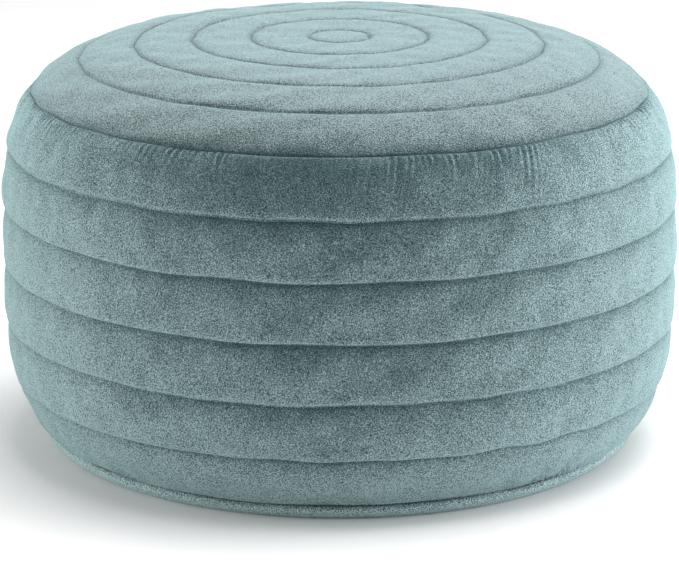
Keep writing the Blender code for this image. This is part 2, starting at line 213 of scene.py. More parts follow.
def mesh_of(name, points, *faces, marks=None):
    """A smooth mesh at the origin from points, arrays of same-sided faces, and attributes of its points."""
    mesh = bpy.data.meshes.new(name)
    sizes = np.concatenate([np.full(len(f), f.shape[1]) for f in faces]).astype(np.int32)
    corners = np.concatenate([np.ravel(f) for f in faces]).astype(np.int32)
    mesh.vertices.add(len(points))
    mesh.vertices.foreach_set("co", np.ravel(points).astype(np.float32))
    mesh.loops.add(len(corners))
    mesh.loops.foreach_set("vertex_index", corners)
    mesh.polygons.add(len(sizes))
    mesh.polygons.foreach_set("loop_start", np.concatenate([[0], np.cumsum(sizes)[:-1]]).astype(np.int32))
    mesh.polygons.foreach_set("loop_total", sizes)
    mesh.update(calc_edges=True)
    mesh.validate()
    mesh.shade_smooth()
    for mark, values in (marks or {}).items():
        mesh.attributes.new(mark, "FLOAT", "POINT").data.foreach_set("value", np.ravel(values))
    piece = bpy.data.objects.new(name, mesh)
    bpy.context.scene.collection.objects.link(piece)
    return piece


def turned_mesh(name, points, poles, marks=None):
    """A rows x columns x 3 grid that closes round the pouf. Its rows close on themselves, or end in poles.

    A pole is one more point in the middle of the first and of the last row, with a fan of triangles."""
    rows, columns = points.shape[:2]
    flat = points.reshape(-1, 3)
    if not poles:
        return mesh_of(name, flat, grid_faces(rows, columns, True, True), marks=marks)
    flat = np.concatenate([flat, points[:1].mean(axis=1), points[-1:].mean(axis=1)])
    here = np.arange(columns)
    after = (here + 1) % columns
    last = (rows - 1) * columns
    top = np.stack([np.full(columns, rows * columns), here, after], 1)
    low = np.stack([np.full(columns, rows * columns + 1), last + after, last + here], 1)
    marks = {k: np.append(v, [v[0].mean(), v[-1].mean()]) for k, v in (marks or {}).items()}
    return mesh_of(name, flat, grid_faces(rows, columns, False, True), top, low, marks=marks)


def place(piece, slot, finish, *nodes, body="root"):
    """Hangs a piece on its body with its material, and hides the CAD nodes that it stands for. The slot is
    not used.
    """
    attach(piece, body)
    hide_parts(*nodes)
    piece.data.materials.append(finish)
    print(piece.name, "has", len(piece.data.polygons), "faces")
    return piece


# %% [markdown]
# ## Nothing sewn is quite even
#
# A sewing line wanders by half a millimetre, a seam gathers more here than there, and stuffing settles in
# lumps. Each of these is noise that must meet itself after a full turn, so it's a sum of cosines with whole
# numbers of waves. `ripple` draws one such sum and gives it back as a function, because the velvet and the
# thread need the very same line on different grids.


# %% Noise that closes round the pouf
def ripple(low, high, count):
    """A function of the angle: cosines of low to high whole waves a turn, random phases, about 1 high."""
    waves = DICE.integers(low, high + 1, count)
    phases = DICE.uniform(0, 2 * np.pi, count)
    return lambda turn: sum(np.cos(w * turn + p) for w, p in zip(waves, phases)) * math.sqrt(2 / count)


WANDER = 0.5 * MM
SEWN_LINES = {line: ripple(2, 30, 9) for line in [*RINGS, TOP_SEAM, *SIDE_LINES, BASE_SEAM]}


def wander(line, turn):
    """How far a sewn line strays along the outline at each angle."""
    return WANDER * SEWN_LINES[line](turn) if line in SEWN_LINES else 0 * turn


# %% [markdown]
# ## Letting the channels swell
#
# Between two lines of stitches, wadding pushes the velvet out and the thread holds it in. That is a job for
# cloth simulation: each channel is a strip of cloth, held along both edges, a few per cent larger than the
# space it has, with pressure behind it. It swells, and its spare cloth settles in soft uneven ripples. We
# simulate all eleven strips at once on coarse grids, and keep only how far each point strays from a plain
# round strip. A sine series carries that across to finer rows and a Fourier series to finer columns. The
# wadding is thicker than the cloth and evens out short ripples, so the Fourier series stops early.

# %% Strips of cloth for the simulation
CELL = 6.5 * MM
STRIP_ROWS = 9
STRIPS = list(zip(TOP_LINES[1:-1], TOP_LINES[2:])) + list(zip(SIDE_EDGES[:-1], SIDE_EDGES[1:]))


def round_frame(arc, turn):
    """Points on the outline round the pouf, with their outward, downward and sideways directions."""
    arc, turn = np.broadcast_arrays(arc, turn)
    (radius, height), (out, up) = (np.moveaxis(v, -1, 0) for v in at(arc))
    cos, sin, none = np.cos(turn), np.sin(turn), 0 * turn
    point = np.stack([radius * cos, radius * sin, height], -1)
    normal = np.stack([out * cos, out * sin, up], -1)
    down = np.stack([up * cos, up * sin, -out], -1)
    return point, normal, down, np.stack([-sin, cos, none], -1)


def strip_grid(start, end):
    """A strip's even rows between its two sewn lines, and its columns, about a cell apart."""
    columns = int(2 * np.pi * at(np.array([start, end]))[0][:, 0].max() / CELL)
    turn = np.linspace(0, 2 * np.pi, columns, endpoint=False)
    return np.broadcast_arrays(np.linspace(start, end, STRIP_ROWS)[:, None], turn)


# %% The cloth's settings
SPARE_CLOTH = 0.03
PRESSURE = 2.5
FRAMES = 26
CLOTH = {
    "quality": 4,
    "mass": 0.2,
    "tension_stiffness": 12,
    "compression_stiffness": 12,
    "shear_stiffness": 4,
    "bending_stiffness": 2,
    "shrink_min": -SPARE_CLOTH,
    "use_pressure": True,
    "uniform_pressure_force": PRESSURE,
}


def sew(cloth, held_points):
    """Gives the strips the Cloth modifier, held along their sewn lines, without gravity or collisions."""
    held = cloth.vertex_groups.new(name="held")
    held.add(held_points, 1.0, "REPLACE")
    sewn = cloth.modifiers.new("cloth", "CLOTH")
    sewn.settings.vertex_group_mass = "held"
    for setting, value in CLOTH.items():
        setattr(sewn.settings, setting, value)
    sewn.settings.effector_weights.gravity = 0
    sewn.collision_settings.use_collision = False
    sewn.point_cache.frame_start, sewn.point_cache.frame_end = 1, FRAMES


# %% Run the cloth
TREMBLE = 0.05 * MM


def swell():
    """How far each strip's points stray, outwards, down and sideways, from the strip's own mean round shape.

    A tremble of the starting points decides where each strip buckles."""
    rests, faces, pinned, start = [], [], [], 0
    for strip in STRIPS:
        point = round_frame(*strip_grid(*strip))[0]
        rows, columns = point.shape[:2]
        rests.append(point.reshape(-1, 3))
        faces.append(grid_faces(rows, columns, False, True) + start)
        number = np.arange(rows * columns).reshape(rows, columns) + start
        pinned += [number[0], number[-1]]
        start += rows * columns
    rest = np.concatenate(rests)
    cloth = mesh_of("cloth", rest + DICE.normal(0, TREMBLE, rest.shape), *faces)
    sew(cloth, np.concatenate(pinned).tolist())
    for number in range(1, FRAMES + 1):
        bpy.context.scene.frame_set(number)
    swollen = cloth.evaluated_get(bpy.context.evaluated_depsgraph_get()).to_mesh()
    now = np.empty(len(rest) * 3, np.float32)
    swollen.vertices.foreach_get("co", now)
    bpy.data.objects.remove(cloth)
    moved = now.reshape(-1, 3) - rest
    strays, start = [], 0
    for strip in STRIPS:
        arc, turn = strip_grid(*strip)
        part = moved[start : start + arc.size].reshape(*arc.shape, 3)
        axes = np.stack(round_frame(arc, turn)[1:], -2)
        local = np.einsum("rcij,rcj->rci", axes, part)
        strays.append(local - local.mean(axis=1, keepdims=True))
        start += arc.size
    bpy.context.scene.frame_set(1)
    return strays


STRAYS = swell()
if STRAYS:
    print("cloth strays, mm:", [round(float(np.abs(s[..., 0]).max()) / MM, 2) for s in STRAYS])

# %% Carry the coarse result to a fine grid
SHORTEST_RIPPLE = 24 * MM
SOFT_WAVES = 3.0
SIDE_STRAY, TOP_STRAY = 0.45, 0.3
MOST_STRAY = 1.6 * MM


def resampled(k, share, columns, gain):
    """Strip k's strays at shares 0 to 1 between its lines (sines) and even columns (Fourier), made soft.

    Down the strip each sine fades by exp(-((wave - 1) / soft waves)^2), and round the pouf each wave by
    exp(-(shortest / length)^2). The whole is scaled by the gain and capped by a tanh."""
    if not STRAYS:
        return 0.0
    stray = STRAYS[k]
    rows, cells = stray.shape[:2]
    wave = np.arange(1, rows - 1)
    coarse = np.sin(np.pi * np.linspace(0, 1, rows)[1:-1, None] * wave)
    fine = np.sin(np.pi * np.asarray(share)[:, None] * wave)
    soft = np.exp(-((wave - 1) / SOFT_WAVES) ** 2)[:, None]
    down = np.einsum("fw,wr,rcj->fcj", fine, soft * np.linalg.inv(coarse), stray[1:-1])
    spectrum = np.fft.rfft(down, axis=1)
    number = np.arange(spectrum.shape[1])
    spectrum *= np.exp(-((number * SHORTEST_RIPPLE / (cells * CELL)) ** 2))[None, :, None]
    smooth = np.fft.irfft(spectrum, n=columns, axis=1) * columns / cells
    return MOST_STRAY * np.tanh(gain * smooth / MOST_STRAY)


# %% [markdown]
# ## The velvet's surface
#
# A channel's section is full and flat in its middle and turns in steeply at the stitches, where two channels
# press together. That is a superellipse again, and its exponent says how squarely a channel's end turns in.
# On the side the fill settles, so each channel is fullest a little below its middle. Along a seam the longer
# edge of cloth is gathered into the shorter one, which leaves a comb of fine pleats that fade out within a
# couple of centimetres. At the back the side band's two ends meet in an upright closing seam.

# %% The channel's section
def smooth_step(value):
    """0 below 0 and 1 above 1, with a smooth cubic between."""
    value = np.clip(value, 0, 1)
    return value**2 * (3 - 2 * value)


CREASE = 4.3 * MM
CREASE_FLOOR = 0.4 * MM
RING_CREASE, SEAM_CREASE = 2.6 * MM, 2.2 * MM
ROUND, FLAT, FIRM, FLUSH = 2.4, 5.0, 7.0, 12.0
SAG = 0.24
DROOP = 1.4 * MM
OVERHANG = 3.0 * MM
EVENNESS = 0.35


def crease_depth(u, sag=0.0, first=ROUND, last=ROUND):
    """Depth from 0 to 1 across a channel, u from -1 to 1: one less the root of one less |u|^exponent.

    The exponent may differ at the channel's two ends: a high one keeps it full right up to the stitches."""
    shifted = u - sag * (1 - u**2)
    power = np.where(shifted < 0, first, last)
    return 1 - np.sqrt(np.maximum(1 - np.abs(shifted) ** power, 0))


def deep(line):
    """How far a sewn line pulls the velvet in: less on the thinly padded top, and least at a seam."""
    if line in (TOP_SEAM, BASE_SEAM):
        return SEAM_CREASE
    return CREASE if line in SIDE_LINES else RING_CREASE


def edge_of(line, way):
    """Where a channel begins: at the line itself at a seam, else a little inside, past the crease's floor."""
    return line if line in (TOP_SEAM, BASE_SEAM) else line + way * CREASE_FLOOR


def rows_between(start, end, count):
    """Places u and arc lengths across a channel: even steps mixed with a sine, so closer at the stitches."""
    if start == 0:
        u = 1 - (1 - np.linspace(0, 1, count // 2 + 1)[1:]) ** 1.5
        return u, u * end
    even = np.linspace(-1, 1, count)
    u = EVENNESS * even + (1 - EVENNESS) * np.sin(np.pi / 2 * even)
    low, high = edge_of(start, 1), edge_of(end, -1)
    return u, (low + high) / 2 + u * (high - low) / 2


# %% The seams' gathers
class Gathers:
    """Pleats along a seam: a fine ripple, in clusters, that leans as it leaves the seam and fades out.

    Height = ripple times cluster times exp(-distance / length), from nothing at the stitches themselves. Both
    the cluster and the pleats' length are slow ripples, kept between a least and a greatest value."""

    START = 1.5 * MM

    def __init__(self, line, reach, height, slant):
        self.line, self.reach, self.height, self.slant = line, reach, height, slant
        self.fine = ripple(210, 380, 14)
        self.cluster = ripple(3, 17, 7)
        self.length = ripple(40, 90, 7)

    def __call__(self, arc, turn):
        away = np.abs(arc - self.line)
        leaning = turn + self.slant * away / RADIUS
        cluster = np.clip(0.6 + 0.5 * self.cluster(turn), 0.1, 1.8)
        length = self.reach * np.clip(1 + 0.6 * self.length(turn), 0.35, 2.4)
        rise = 1 - np.exp(-((away / self.START) ** 2))
        return self.height * np.minimum(self.fine(leaning), 0.9) * cluster * np.exp(-away / length) * rise


UNDER_TOP_SEAM = Gathers(TOP_SEAM, 11 * MM, 0.7 * MM, 0.25)
NICKS_TOP_SEAM = Gathers(TOP_SEAM, 3.5 * MM, 0.9 * MM, 0.0)
OVER_TOP_SEAM = Gathers(TOP_SEAM, 5 * MM, 0.35 * MM, 0.0)
OVER_BASE_SEAM = Gathers(BASE_SEAM, 13 * MM, 0.8 * MM, 0.7)
UNDER_BASE_SEAM = Gathers(BASE_SEAM, 6 * MM, 0.9 * MM, -0.5)

# %% Unevenness, the closing seam and painted shade by the top seam
UNEVEN = 0.7 * MM
BROAD, NARROW = ripple(2, 7, 6), ripple(5, 16, 8)
NARROW_SHARE, TWIST = 0.6, 3
CALM_MIDDLE = 250 * MM
CLOSING_SEAM = np.pi / 2
CLOSING_WIDTH = 2.4 * MM
CLOSING_DEPTH = 2.2 * MM
CLOSING_SHADE = 0.3
# painted shade along the top seam: its amount, and its reach below and above the seam
SEAM_SHADE, SEAM_SHADE_UNDER, SEAM_SHADE_OVER = 0.75, 30 * MM, 14 * MM


def settled(arc, turn):
    """How far the stuffing has settled out of round: broad ripples and narrower twisted ones, calm on top."""
    lumps = BROAD(turn) + NARROW_SHARE * NARROW(turn + TWIST * arc / RADIUS)
    return UNEVEN * lumps * smooth_step(arc / CALM_MIDDLE)


def closing_valley(turn):
    """1 along the closing seam, falling to 0 on both sides as exp(-(distance / width)^2)."""
    return np.exp(-(((turn - CLOSING_SEAM) * RADIUS / CLOSING_WIDTH) ** 2))


def seam_shade(arc, reach):
    """Painted shade along the top seam: greatest at the seam, falling as exp(-(distance / reach)^2)."""
    return SEAM_SHADE * np.exp(-(((arc - TOP_SEAM) / reach) ** 2))


# %% A quilted face
def quilted_face(edges, count, columns, gathers=(), first_strip=None, side=False):
    """Points of a quilted face, and how much painted shade each one gets: 0 out in the open, 1 in a crease.

    Each point starts on the outline. It goes in by the channel's section, out or in as the stuffing settled,
    and out by the seams' pleats, and then strays as the simulated cloth did. On the side a channel droops,
    and on top the last one hangs over the seam."""
    turn = np.linspace(0, 2 * np.pi, columns, endpoint=False)
    faces, shades = [], []
    for k, (start, end) in enumerate(zip(edges[:-1], edges[1:])):
        u, arc = rows_between(start, end, count)
        share = ((u + 1) / 2 if start else u)[:, None]
        slump = DROOP * (end != BASE_SEAM) if side else OVERHANG * (end == TOP_SEAM)
        arc = arc + slump * np.sqrt(np.maximum(1 - u**2, 0))
        arc = arc[:, None] + (1 - share) * wander(start, turn) + share * wander(end, turn)
        ends = (SAG, FLUSH if start == TOP_SEAM else ROUND, FIRM) if side else (0, FLAT, FLAT)
        sunk = crease_depth(u, *ends)[:, None] + 0 * turn
        # painted shade: deeper in a crease, and more near the top seam
        shade = sunk + seam_shade(arc, SEAM_SHADE_UNDER if side else SEAM_SHADE_OVER)
        point, normal, down, aside = round_frame(arc, turn)
        out = settled(arc, turn) * (1 - sunk) - sunk * np.where(u < 0, deep(start), deep(end))[:, None]
        out = out + sum(gather(arc, turn) for gather in gathers)
        if side:
            out = out - CLOSING_DEPTH * closing_valley(turn) * (1 - sunk)
            # painted shade along the closing seam's valley
            shade = shade + CLOSING_SHADE * closing_valley(turn)
        face = point + normal * out[..., None]
        if start:
            stray = resampled(first_strip + k, share[:, 0], columns, SIDE_STRAY if side else TOP_STRAY)
            face = face + np.einsum("rcij,rci->rcj", np.stack([normal, down, aside], -2), stray + 0 * face)
        faces.append(face)
        shades.append(shade)
    return np.concatenate(faces), np.concatenate(shades)


# %% [markdown]
# ## Velvet
#
# Velvet is a dense stand of short fibres. Seen end on, light is lost between them, so the cloth looks dark
# and deep; seen from the side, their flanks catch it and the cloth looks pale. The Principled shader's
# sheen does this at the very edge only. So the rest of the sheen is painted into the base colour: a Layer
# Weight node, which knows how steeply we look at a direction, takes the way the pile leans instead of the
# surface's normal, and blends a dark teal into a pale one. A grain as fine as the tufts breaks the painted
# sheen up, and so do clouds where a hand has brushed the pile. Creases, the band along the top seam and
# the closing seam get painted shade.
#
# Shader maths reads best as Python. `Socket` wraps one socket of a node tree, and arithmetic on it adds the
# matching Math nodes; `make` adds any other node.


# %% Shader maths as Python
class Socket:
    """A node socket that takes part in Python arithmetic."""

    def __init__(self, tree, socket=None):
        self.tree, self.socket = tree, socket

    def make(self, kind, inputs=None, output=0, **settings):
        """Adds a node of a type: its settings, then values or links for its sockets."""
        node = self.tree.nodes.new("ShaderNode" + kind)
        for name, value in settings.items():
            setattr(node, name, value)
        for name, value in (inputs or {}).items():
            self.feed(node.inputs[name], value)
        return Socket(self.tree, node.outputs[output])

    def feed(self, socket, value):
        """Links a wrapped socket to this one, or sets its value."""
        if isinstance(value, Socket):
            self.tree.links.new(value.socket, socket)
        else:
            socket.default_value = value

    def maths(self, operation, first, second):
        """A Math node on two wrapped sockets or numbers."""
        return self.make("Math", {0: first, 1: second}, operation=operation)

    def __add__(self, other):
        return self.maths("ADD", self, other)

    def __sub__(self, other):
        return self.maths("SUBTRACT", self, other)

    def __rsub__(self, other):
        return self.maths("SUBTRACT", other, self)

    def __mul__(self, other):
        return self.maths("MULTIPLY", self, other)

    def __pow__(self, other):
        return self.maths("POWER", self, other)

    __radd__, __rmul__ = __add__, __mul__

    def vector(self, operation, other):
        """A Vector Math node on this vector and another."""
        return self.make("VectorMath", {0: self, 1: other}, operation=operation)

    def make_unit(self):
        """This vector at length 1."""
        return self.make("VectorMath", {0: self}, operation="NORMALIZE")

    def blend(self, dark, light):
        """A colour between two colours, by this value."""
        return self.make("Mix", {0: self, 6: dark, 7: light}, output=2, data_type="RGBA", clamp_factor=True)


def material(name, **values):
    """A new material: a wrapper of its tree and its Principled shader, with these socket values set."""
    made = bpy.data.materials.new(name)
    made.use_nodes = True
    shader = made.node_tree.nodes["Principled BSDF"]
    for socket, value in values.items():
        shader.inputs[socket.replace("_", " ")].default_value = value
    return made, Socket(made.node_tree), shader


def noise(tree, where, size, detail=2.0, roughness=0.5, distortion=0.0):
    """Noise whose lumps are about this size in metres, from 0 to 1."""
    inputs = {"Vector": where, "Scale": 1 / size, "Detail": detail, "Roughness": roughness}
    return tree.make("TexNoise", {**inputs, "Distortion": distortion})


# %% The velvet material
GRAIN, TUFTS, CLOUDS = 0.95 * MM, 4 * MM, 34 * MM
BRUSHED = (22 * MM, 90 * MM)
RANDOM_LEAN = 0.55
DEEPEST, PAINTED_SHEEN, CLOUDINESS = 0.195, 0.58, 0.10
GRAININESS = 2.1
# painted shade: how much the crease attribute darkens the base colour
CREASE_SHADE = 0.35
PILE_DARK = (0.004, 0.027, 0.031, 1)


def velvet_material(name, brushed_way, sheen_colour):
    """Teal velvet with a painted sheen: dark into the pile, pale across it, with grain, tufts and patches of
    brushed pile.

    The pile's direction is the bumped normal, leaning the way it was brushed and a little at random. How far
    we look across it is the square of the sine between the two. Shade = (deepest + painted sheen times that,
    plus clouds) times (twice the grain)^graininess, less by painted shade in a crease, and it blends from
    dark to the sheen colour."""
    made, tree, shader = material(
        name,
        Roughness=0.9,
        Sheen_Weight=0.35,
        Sheen_Roughness=0.4,
        Sheen_Tint=(0.55, 0.88, 0.92, 1),
        Specular_IOR_Level=0.1,
    )
    where = tree.make("TexCoord", output=3)
    grain = noise(tree, where, GRAIN, 0.0)
    tufts = noise(tree, where, TUFTS, 2.0)
    clouds = noise(tree, where, CLOUDS, 3.0, 0.6, 0.6)
    relief = grain * 0.5 + tufts * 0.25 + clouds * 2.0
    bump = tree.make("Bump", {"Height": relief, "Distance": 0.9 * MM, "Strength": 0.4})
    tree.feed(shader.inputs["Normal"], bump)
    scales = [{"Vector": where, "Scale": 1 / size, "Detail": 2.0} for size in BRUSHED]
    brushed = [tree.make("TexNoise", inputs, output=1) for inputs in scales]
    lean = brushed[0].vector("ADD", brushed[1]).vector("SUBTRACT", (1.0,) * 3)
    lean = lean.vector("MULTIPLY", (RANDOM_LEAN,) * 3)
    pile = bump.vector("ADD", lean.vector("ADD", brushed_way)).make_unit()
    # painted sheen: the more we look across the leaning pile, the paler the base colour
    across = tree.make("LayerWeight", {"Blend": 0.75, "Normal": pile}, output=1)
    shade = (across * PAINTED_SHEEN + DEEPEST + (clouds - 0.5) * CLOUDINESS) * (grain * 2.0) ** GRAININESS
    crease = tree.make("Attribute", output=2, attribute_name="crease")
    # painted shade: the crease attribute darkens the base colour in creases, by the top seam and along the
    # closing seam
    tree.feed(shader.inputs["Base Color"], (shade * (1.0 - crease * CREASE_SHADE)).blend(PILE_DARK, sheen_colour))
    return made


# One velvet in three copies: the top's copy has a darker sheen colour as painted shade, and the base's copy a
# paler sheen colour and a further downward lean as painted light.
SHADED_TOP_VELVET = velvet_material("velvet_top", (0.0, 0.18, 0.0), (0.255, 0.322, 0.330, 1))
VELVET = velvet_material("velvet", (0.0, 0.0, -0.35), (0.300, 0.410, 0.420, 1))
LIT_BASE_VELVET = velvet_material("velvet_base", (0.0, 0.0, -0.6), (0.44, 0.58, 0.59, 1))

# %% [markdown]
# ## The top panel and the side band
#
# Both are closed shells: the quilted face, and an inner face with fewer rows a little deeper. The alternative
# is one sheet and a Solidify modifier, but that would double the fine rows on the side that nobody sees.

# %% A shell of cloth
COLUMNS = 1440
TOP_COLUMNS = 960
FACE_ROWS = 20
THICKNESS = 1.2 * MM
COARSE = 3


def shell(name, edges, face):
    """A closed shell from an outer face: the inner one keeps every third row, moved in by the thickness."""
    outer, crease = face
    keep = np.unique(np.append(np.arange(0, len(outer), COARSE), len(outer) - 1))
    arcs = np.concatenate([rows_between(a, b, FACE_ROWS)[1] for a, b in zip(edges[:-1], edges[1:])])
    turn = np.linspace(0, 2 * np.pi, outer.shape[1], endpoint=False)
    inner = outer[keep] - round_frame(arcs[keep][:, None], turn)[1] * THICKNESS
    # the face's painted shade is kept as the crease attribute, which darkens the velvet's base colour
    marks = {"crease": np.concatenate([crease, crease[keep][::-1]])}
    return turned_mesh(name, np.concatenate([outer, inner[::-1]]), edges[0] == 0, marks)


# %% Sew the top panel
top_face = quilted_face(TOP_LINES, FACE_ROWS, TOP_COLUMNS, gathers=[OVER_TOP_SEAM], first_strip=-1)
velvet_top = shell("velvet_top", TOP_LINES, top_face)
place(velvet_top, "velvet", SHADED_TOP_VELVET, "top_cover")

# %% Sew the side band
side_gathers = [UNDER_TOP_SEAM, NICKS_TOP_SEAM, OVER_BASE_SEAM]
side_face = quilted_face(SIDE_EDGES, FACE_ROWS, COLUMNS, gathers=side_gathers, first_strip=5, side=True)
velvet_side = shell("velvet_side", SIDE_EDGES, side_face)
place(velvet_side, "velvet", VELVET, "side_cover")

# %% [markdown]
# ## The base
#
# The base is one disc of velvet in two halves, with a zip across it so that the cover comes off. Over the zip
# it is held up off the floor in a shallow recess. A polar grid would have its pole in the middle of the slot,
# so each half is a grid of lines that run from the slot to the rim, then round the rim up to the base seam.
# The stuffing presses the rim outwards, so the strip below the seam stands nearly upright.

# %% The base's sizes and its recess
SLOT_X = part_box("zip_top_stop")[1].x + 0.3 * MM
SLOT_Y = 5.4 * MM
JOIN = 0.3 * MM
RECESS_X, RECESS_Y, RECESS_SLOPE = 210.3 * MM, 15.7 * MM, 14 * MM
RECESS_HEIGHT = 8.2 * MM
FOOT_RADIUS = FLOOR_RADIUS + 8.5 * MM
RIM_FULLNESS = 9.0
BASE_ROWS, RIM_ROWS, BASE_COLUMNS = 56, 16, 420
FINER_AT_SLOT = 1.6
PUCKER = 0.25 * MM


def recess(x, y):
    """1 over the zip, falling smoothly to 0 where the base is back down on the floor."""
    return (1 - smooth_step((np.abs(x) - RECESS_X) / RECESS_SLOPE)) * (
        1 - smooth_step((np.abs(y) - RECESS_Y) / RECESS_SLOPE)
    )


# %% Half of the base
def flat_part(side, angle):
    """Rows of points from the slot to the rim, along y at x = cos(angle): closer near the slot, and held
    above the floor by the recess and by a slight pucker that fades out at the slot and at the rim."""
    x, rim = FOOT_RADIUS * np.cos(angle), FOOT_RADIUS * np.sin(angle)
    slot = np.minimum(np.where(np.abs(x) < SLOT_X, SLOT_Y, JOIN), rim)
    share = (np.linspace(0, 1, BASE_ROWS) ** FINER_AT_SLOT)[:, None]
    y = np.maximum(slot, JOIN + (rim - JOIN) * share)
    x = x + 0 * y
    lift = PUCKER * (1 + 0.5 * NARROW(angle * side)) * smooth_step(share * 3) * smooth_step((1 - share) * 8)
    return np.stack([x, y * side, RECESS_HEIGHT * recess(x, y) + lift], -1)


def rim_part(side, angle, end):
    """Rows of points from the foot up to the base seam, and how deep in the seam's crease each row is, which
    also sets its painted shade.

    The outline is moved outwards by the foot's extra radius times 1 - up^3, and in by the crease."""
    up = np.linspace(0, 1, RIM_ROWS)[1:, None]
    turn = side * (angle - end) * np.pi / (np.pi - 2 * end)
    arc = ARCS[-1] + (BASE_SEAM - ARCS[-1]) * up + up * wander(BASE_SEAM, turn)
    point, normal, _, _ = round_frame(arc, turn)
    depth = crease_depth(up, 0, RIM_FULLNESS, RIM_FULLNESS)
    out = UNDER_BASE_SEAM(arc, turn) * smooth_step(up * 3) - SEAM_CREASE * depth
    raised = point + normal * out[..., None]
    wider = (FOOT_RADIUS - FLOOR_RADIUS) * (1 - up**3)
    raised[..., 0] += wider * np.cos(turn)
    raised[..., 1] += wider * np.sin(turn)
    raised[..., 2] = np.maximum(raised[..., 2], 0.0)
    return raised, np.broadcast_to(depth, raised.shape[:2])


def base_half(name, side, node):
    """Half of the base, on the side of +Y or -Y: lines of points from the slot out to the rim and up it.

    Two lines stand close together at each end of the slot. Points that fall together are then merged."""
    end = math.asin(JOIN / FOOT_RADIUS)
    edge = np.arccos((SLOT_X + np.array([0.1, -0.1]) * MM) / FOOT_RADIUS)
    angle = np.sort(np.concatenate([np.linspace(end, np.pi - end, BASE_COLUMNS), edge, np.pi - edge]))
    flat, (raised, depth) = flat_part(side, angle), rim_part(side, angle, end)
    grid = np.concatenate([flat, raised])
    quads = grid_faces(*grid.shape[:2], False, False)[:, ::-side]
    # painted shade in the base seam's crease, carried by the crease attribute
    marks = {"crease": np.concatenate([0 * flat[..., 0], depth])}
    piece = mesh_of(name, grid.reshape(-1, 3), quads, marks=marks)
    weld = bmesh.new()
    weld.from_mesh(piece.data)
    bmesh.ops.remove_doubles(weld, verts=weld.verts, dist=0.01 * MM)
    weld.to_mesh(piece.data)
    weld.free()
    thick = piece.modifiers.new("thickness", "SOLIDIFY")
    thick.thickness, thick.offset = THICKNESS, -1
    return place(piece, "velvet", LIT_BASE_VELVET, node)


base_half("velvet_base_front", -1, "base_cover_front")
base_half("velvet_base_rear", 1, "base_cover_rear")

# %% [markdown]
# ## Inside the cover
#
# Nobody sees these layers, but the velvet is quilted through them and they fill the model: a fleece of
# wadding, a thin backing cloth, the bag, and the loose fill. They follow the same outline at their own
# depths, with coarser grids and no unevenness of their own.

# %% Materials of the inside
WAVES = 0.16  # a Wave texture repeats every 0.314 / scale, so each half of its wave is one thread wide
BETWEEN_THREADS = 0.78


def plain_cloth(name, light, thread_size, rough):
    """A plain weave: two waves crossing at right angles, in colour and relief, with slubs of nine threads."""
    made, tree, shader = material(name, Roughness=rough, Specular_IOR_Level=0.2)
    where = tree.make("TexCoord", output=3)
    weave = [
        tree.make("TexWave", {"Vector": where, "Scale": WAVES / thread_size}, output=1, bands_direction=way)
        for way in ("X", "Z")
    ]
    threads = weave[0] * 0.5 + weave[1] * 0.5
    slubs = noise(tree, where, 9 * thread_size, 3.0, 0.6)
    dark = tuple(BETWEEN_THREADS * c for c in light)
    tree.feed(shader.inputs["Base Color"], (threads * 0.5 + slubs * 0.5).blend((*dark, 1), (*light, 1)))
    bump = tree.make("Bump", {"Height": threads + slubs * 0.5, "Distance": 0.1 * MM, "Strength": 0.6})
    tree.feed(shader.inputs["Normal"], bump)
    return made


def fleece(name, dark, light, tuft):
    """Loose fibre: noise of several sizes in colour and relief, under a soft sheen."""
    made, tree, shader = material(name, Roughness=0.95, Sheen_Weight=0.4, Specular_IOR_Level=0.1)
    where = tree.make("TexCoord", output=3)
    lumps = noise(tree, where, tuft, 6.0, 0.65, 0.8)
    tree.feed(shader.inputs["Base Color"], lumps.blend(dark, light))
    bump = tree.make("Bump", {"Height": lumps, "Distance": 2 * MM, "Strength": 0.7})
    tree.feed(shader.inputs["Normal"], bump)
    return made


WADDING = fleece("wadding", (0.62, 0.62, 0.60, 1), (0.86, 0.86, 0.84, 1), 9 * MM)
FILL = fleece("fill", (0.48, 0.50, 0.50, 1), (0.84, 0.84, 0.82, 1), 22 * MM)
BACKING = plain_cloth("backing", (0.58, 0.58, 0.56), 0.5 * MM, 0.85)
LINER = plain_cloth("liner", (0.78, 0.77, 0.73), 0.4 * MM, 0.8)

# %% Wadding, backing and the bag's top and side
LAYER_COLUMNS, LAYER_ROWS = 192, 12
LAYERS = [  # kind, material, depths of the outer and inner face, crease of the outer face
    ("wadding", WADDING, 4.0 * MM, 13.4 * MM, CREASE),
    ("backing", BACKING, 14.1 * MM, 14.9 * MM, 0.0),
    ("liner", LINER, 15.9 * MM, 16.5 * MM, 0.0),
]


def inset(arcs, depth):
    """The outline at a depth, as a grid round the pouf."""
    turn = np.linspace(0, 2 * np.pi, LAYER_COLUMNS, endpoint=False)
    point, normal, _, _ = round_frame(arcs[:, None], turn)
    return point - normal * np.reshape(depth, (-1, 1, 1))


def layer(name, edges, outer, inner, crease, slot, finish, node):
    """A closed shell between two depths under the outline, its outer face quilted by the crease.

    Outer depth = its own plus the crease times one less the root of one less |u|^exponent."""
    rows = [rows_between(a, b, LAYER_ROWS) for a, b in zip(edges[:-1], edges[1:])]
    u, arcs = (np.concatenate(parts) for parts in zip(*rows))
    grid = np.concatenate([inset(arcs, outer + crease * crease_depth(u)), inset(arcs, inner)[::-1]])
    piece = place(turned_mesh(name, grid, edges[0] == 0), slot, finish, node)
    slot == "wadding"


for kind, finish, outer, inner, crease in LAYERS:
    for part, edges in (("top", TOP_LINES), ("side", SIDE_EDGES)):
        node = f"{kind}_{part}" if kind == "liner" else f"{part}_{kind}"
        layer(f"inner_{node}", edges, outer, inner, crease, kind, finish, node)

